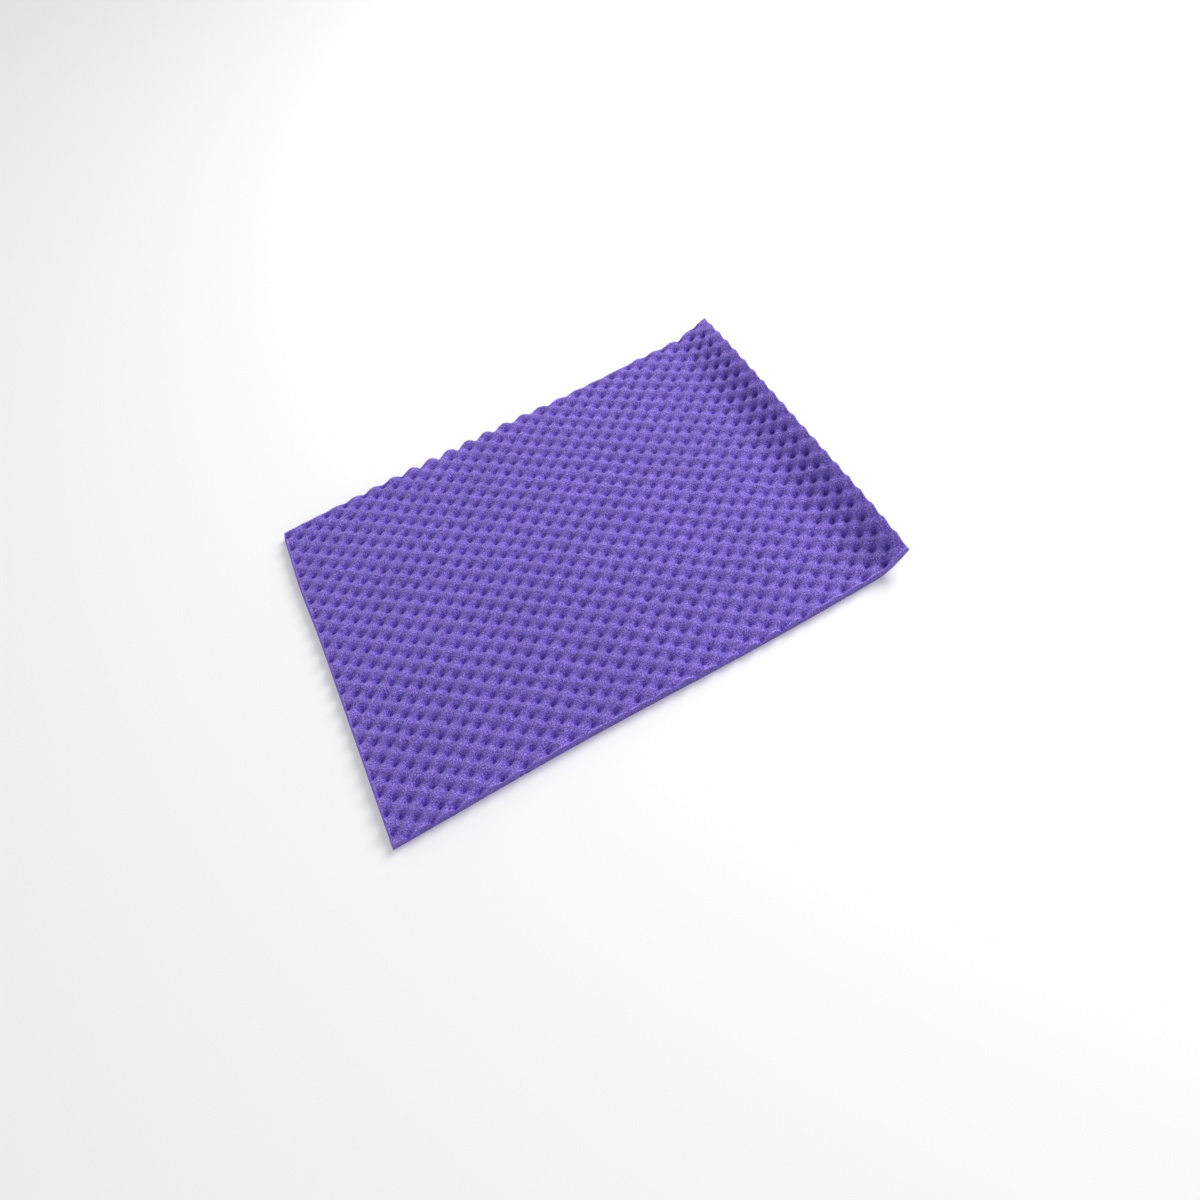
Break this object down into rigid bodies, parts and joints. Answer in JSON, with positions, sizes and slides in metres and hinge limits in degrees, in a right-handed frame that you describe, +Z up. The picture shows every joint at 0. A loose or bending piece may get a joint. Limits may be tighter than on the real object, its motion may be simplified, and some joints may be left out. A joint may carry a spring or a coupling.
{
  "type": "kneeling pad",
  "caption": "Thin soft foam mat, dimpled in a diamond pattern on top and flat underneath, laid on the ground to kneel on, with one end curling up off the floor",
  "frame": {"origin": "On the floor plane, under the middle of the sheet's outer box", "axes": "+Z up out of the dimpled side, +X along the long side towards the end that curls up, +Y across the sheet"},
  "size_m": [0.5642, 0.4, 0.0323],
  "materials": {
    "foam": "matte purple open-cell polyurethane foam, fine cell grain, bare knife-cut faces on top, sides and back"
  },
  "bodies": {
    "root": {"foam_sheet": "foam"}
  },
  "joints": []
}
